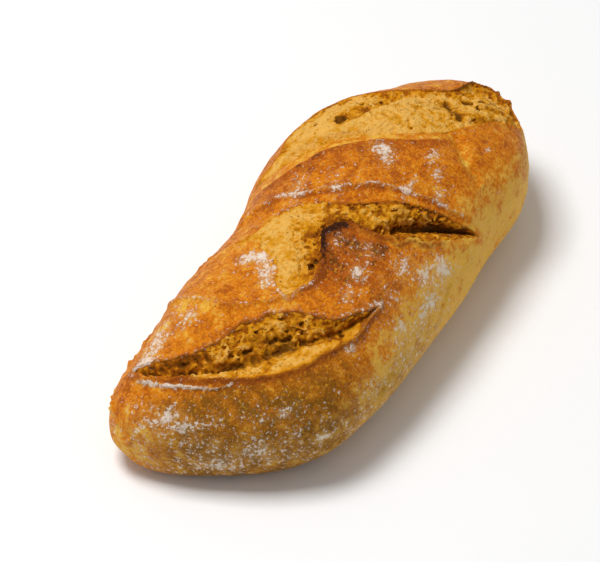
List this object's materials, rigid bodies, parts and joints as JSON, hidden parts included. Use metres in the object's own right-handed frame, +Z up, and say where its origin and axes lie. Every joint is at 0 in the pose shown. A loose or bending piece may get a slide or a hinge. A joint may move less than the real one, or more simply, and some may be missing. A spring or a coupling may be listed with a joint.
{
  "type": "spelt baguette",
  "caption": "Short, broad spelt baguette with a floured golden crust, slashed across the top and torn open at one tip.",
  "frame": {"origin": "under the middle of the loaf's box, on the surface that it rests on", "axes": "+X along the loaf towards the torn tip, +Z up, -Y towards the side that the picture shows"},
  "size_m": [0.2594, 0.1181, 0.0754],
  "materials": {
    "crust": "satin"
  },
  "bodies": {
    "root": {"loaf": "crust"}
  },
  "joints": []
}
